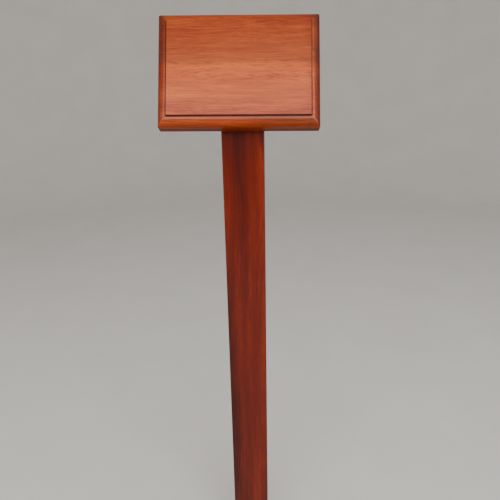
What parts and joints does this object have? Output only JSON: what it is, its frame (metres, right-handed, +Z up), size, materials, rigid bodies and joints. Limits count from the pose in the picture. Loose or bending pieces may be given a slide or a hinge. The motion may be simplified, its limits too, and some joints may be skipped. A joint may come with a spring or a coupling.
{
  "type": "memorial plaque on post",
  "caption": "Varnished wooden plaque with a raised rectangular field and a quarter-round moulded edge, tilted back on a tall pointed wooden post.",
  "frame": {"origin": "centre of the blunt flat tip at the bottom of the stake", "axes": "+Z up along the post, -Y towards the viewer and the raised field, +X to the viewer's right"},
  "size_m": [0.3434, 0.1304, 1.421],
  "materials": {
    "plaque_wood": "gloss varnish",
    "rail_wood": "gloss varnish",
    "post_wood": "gloss varnish",
    "plug_wood": "satin varnish",
    "brass_screw": "satin",
    "steel_screw": "zinc plated"
  },
  "bodies": {
    "root": {"face_board": "plaque_wood", "bottom_rail": "rail_wood", "top_rail": "rail_wood", "left_stile": "rail_wood", "right_stile": "rail_wood", "saddle_batten": "rail_wood", "post": "post_wood", "rail_screw_1": "brass_screw", "rail_screw_2": "brass_screw", "rail_screw_3": "brass_screw", "rail_screw_4": "brass_screw", "rail_screw_5": "brass_screw", "rail_screw_6": "brass_screw", "rail_screw_7": "brass_screw", "rail_screw_8": "brass_screw", "stile_screw_1": "brass_screw", "stile_screw_2": "brass_screw", "saddle_screw_1": "brass_screw", "saddle_screw_2": "brass_screw", "saddle_screw_3": "brass_screw", "saddle_screw_4": "brass_screw", "post_screw_1": "steel_screw", "post_screw_2": "steel_screw", "post_screw_3": "steel_screw", "screw_plug_1": "plug_wood", "screw_plug_2": "plug_wood", "screw_plug_3": "plug_wood", "locating_dowel_1": "plug_wood", "locating_dowel_2": "plug_wood"}
  },
  "joints": []
}
